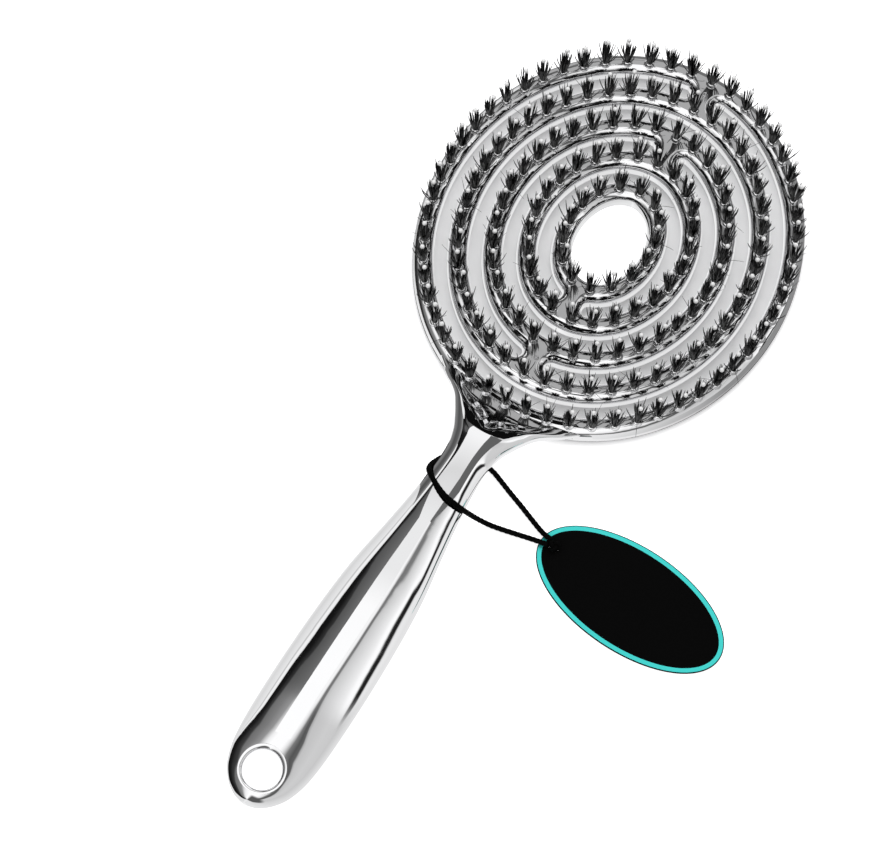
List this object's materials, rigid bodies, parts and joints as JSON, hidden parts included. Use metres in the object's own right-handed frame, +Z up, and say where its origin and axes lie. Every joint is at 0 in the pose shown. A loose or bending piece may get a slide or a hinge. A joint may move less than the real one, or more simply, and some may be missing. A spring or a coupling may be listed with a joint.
{
  "type": "vented hairbrush",
  "caption": "Chrome-plated vented oval hairbrush with ring-shaped rows of ball-tipped bristle tufts, a waisted handle with a hanging hole, and a string tag.",
  "frame": {"origin": "under the middle of the brush's length and width, on the surface that its flat back lies on", "axes": "+Z up out of the bristles, +Y along the brush towards the tip of the head, +X to the right, where the tag lies"},
  "size_m": [0.1314, 0.2353, 0.017],
  "materials": {
    "plated_abs": "polished",
    "black_nylon": "satin",
    "black_card": "matte",
    "black_cord": "matte"
  },
  "bodies": {
    "brush": {"bristles_row1_01": "black_nylon", "bristles_row1_02": "black_nylon", "bristles_row1_03": "black_nylon", "bristles_row1_04": "black_nylon", "bristles_row1_05": "black_nylon", "bristles_row1_06": "black_nylon", "bristles_row1_07": "black_nylon", "bristles_row1_08": "black_nylon", "bristles_row1_09": "black_nylon", "bristles_row1_10": "black_nylon", "bristles_row1_11": "black_nylon", "bristles_row1_12": "black_nylon", "bristles_row1_13": "black_nylon", "bristles_row1_14": "black_nylon", "bristles_row2_01": "black_nylon", "bristles_row2_02": "black_nylon", "bristles_row2_03": "black_nylon", "bristles_row2_04": "black_nylon", "bristles_row2_05": "black_nylon", "bristles_row2_06": "black_nylon", "bristles_row2_07": "black_nylon", "bristles_row2_08": "black_nylon", "bristles_row2_09": "black_nylon", "bristles_row2_10": "black_nylon", "bristles_row2_11": "black_nylon", "bristles_row3_01": "black_nylon", "bristles_row3_02": "black_nylon", "bristles_row3_03": "black_nylon", "bristles_row3_04": "black_nylon", "bristles_row3_05": "black_nylon", "bristles_row3_06": "black_nylon", "bristles_row3_07": "black_nylon", "bristles_row3_08": "black_nylon", "bristles_row3_09": "black_nylon", "bristles_row4_01": "black_nylon", "bristles_row4_02": "black_nylon", "bristles_row4_03": "black_nylon", "bristles_row4_04": "black_nylon", "bristles_row4_05": "black_nylon", "bristles_row4_06": "black_nylon", "bristles_row4_07": "black_nylon", "bristles_row5_01": "black_nylon", "bristles_row5_02": "black_nylon", "bristles_row5_03": "black_nylon", "bristles_row5_04": "black_nylon", "bristles_row5_05": "black_nylon", "brush_body": "plated_abs", "string_knot": "black_cord", "tag_string": "black_cord"},
    "tag": {"hang_tag": "black_card"}
  },
  "joints": [
    {"name": "tag_swing", "type": "hinge", "parent": "brush", "child": "tag", "pos_m": [0.0305, -0.01805, 0.0003], "axis": [0, 0, 1], "range_deg": [-80, 50]}
  ]
}
